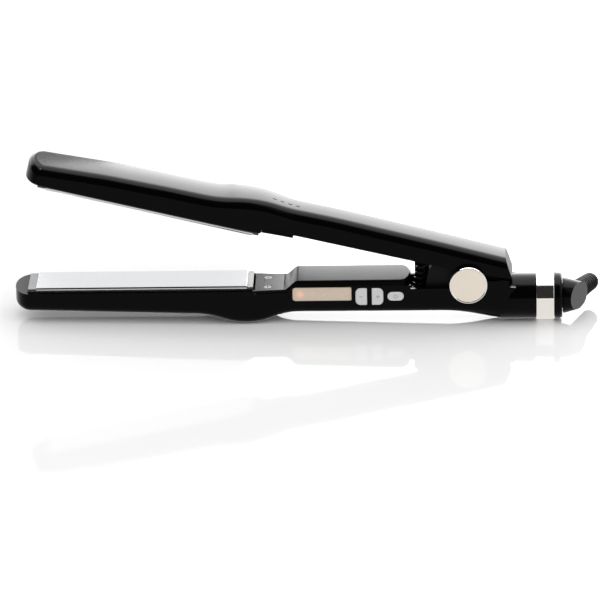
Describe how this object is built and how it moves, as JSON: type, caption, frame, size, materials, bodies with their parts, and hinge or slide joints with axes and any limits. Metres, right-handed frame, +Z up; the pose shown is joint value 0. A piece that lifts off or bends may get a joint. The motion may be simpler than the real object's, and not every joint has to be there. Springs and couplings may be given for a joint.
{
  "type": "hair straightener",
  "caption": "Slim hair straightener with two hinged arms, floating heating plates, grip controls, sprung hinge and a swivelling ribbed cord outlet.",
  "frame": {"origin": "centre line of the small flat under the lower arm that rests on the table, on the table's surface", "axes": "+X from the tips to the cord, +Y away from the side that has the buttons, +Z up from the table"},
  "size_m": [0.3058, 0.0468, 0.0875],
  "materials": {
    "gloss_black": "deep gloss",
    "satin_black": "satin moulded",
    "carrier_black": "fine satin",
    "plate_metal": "polished titanium",
    "dark_steel": "blackened screws",
    "steel": "plain",
    "spring_black": "black oxide",
    "brass": "plain",
    "ceramic": "fired ceramic",
    "lens": "tinted mirror lens",
    "display": "plain",
    "button_silver": "satin silver",
    "board": "solder mask",
    "champagne": "satin anodised, bright rim",
    "band_metal": "polished",
    "rubber_black": "moulded ribs"
  },
  "bodies": {
    "lower_arm": {"lower_casing": "gloss_black", "grip_cover": "gloss_black", "lower_shoulder_cover": "gloss_black", "lower_shoulder_screws": "dark_steel", "lower_float_springs": "steel", "display_lens": "lens", "display_module": "display", "control_board": "board", "tact_switches": "satin_black", "power_board": "board", "hinge_tower": "satin_black", "tower_screws": "dark_steel", "hinge_pin": "steel", "front_hinge_cap": "champagne", "rear_hinge_cap": "champagne", "arm_spring": "spring_black", "tail_sleeve": "gloss_black", "tail_band": "band_metal", "swivel_collar": "gloss_black"},
    "lower_plate_unit": {"lower_plate": "plate_metal", "lower_plate_carrier": "carrier_black", "lower_heater": "ceramic", "lower_heat_sensor": "brass"},
    "minus_key": {"minus_button": "button_silver"},
    "plus_key": {"plus_button": "button_silver"},
    "power_key": {"power_button": "button_silver"},
    "cord_swivel": {"swivel_cone": "gloss_black", "swivel_retainer": "steel", "cord_boot": "rubber_black"},
    "upper_arm": {"upper_casing": "gloss_black", "upper_liner": "satin_black", "upper_shoulder_cover": "gloss_black", "upper_shoulder_screws": "dark_steel", "upper_float_springs": "steel", "hinge_bracket": "steel", "bracket_screws": "steel", "hinge_bushes": "brass"},
    "upper_plate_unit": {"upper_plate": "plate_metal", "upper_plate_carrier": "carrier_black", "upper_heater": "ceramic", "thermal_fuse": "ceramic"}
  },
  "joints": [
    {"name": "arm_hinge", "type": "hinge", "parent": "lower_arm", "child": "upper_arm", "pos_m": [0.115, 0, 0.0231], "axis": [0, -1, 0], "range_deg": [0, 13.8], "stiffness_Nm_per_rad": 1.2, "springref_deg": -8.59, "deforming": ["arm_spring"]},
    {"name": "lower_plate_float", "type": "slide", "parent": "lower_arm", "child": "lower_plate_unit", "axis": [0.0192, 0, -0.9998], "range_m": [0, 0.001], "stiffness_N_per_m": 2500, "springref_m": -0.001, "deforming": ["lower_float_springs"]},
    {"name": "upper_plate_float", "type": "slide", "parent": "upper_arm", "child": "upper_plate_unit", "axis": [0.2198, 0, 0.9755], "range_m": [0, 0.001], "stiffness_N_per_m": 2500, "springref_m": -0.001, "deforming": ["upper_float_springs"]},
    {"name": "cord_swivel_turn", "type": "hinge", "parent": "lower_arm", "child": "cord_swivel", "pos_m": [0.16521, 0, 0.01268], "axis": [0.9998, 0, 0.0192], "continuous": true},
    {"name": "minus_press", "type": "slide", "parent": "lower_arm", "child": "minus_key", "axis": [0, 1, 0], "range_m": [0, 0.0006], "stiffness_N_per_m": 1200, "springref_m": -0.0005},
    {"name": "plus_press", "type": "slide", "parent": "lower_arm", "child": "plus_key", "axis": [0, 1, 0], "range_m": [0, 0.0006], "stiffness_N_per_m": 1200, "springref_m": -0.0005},
    {"name": "power_press", "type": "slide", "parent": "lower_arm", "child": "power_key", "axis": [0, 1, 0], "range_m": [0, 0.0006], "stiffness_N_per_m": 1200, "springref_m": -0.0005}
  ]
}
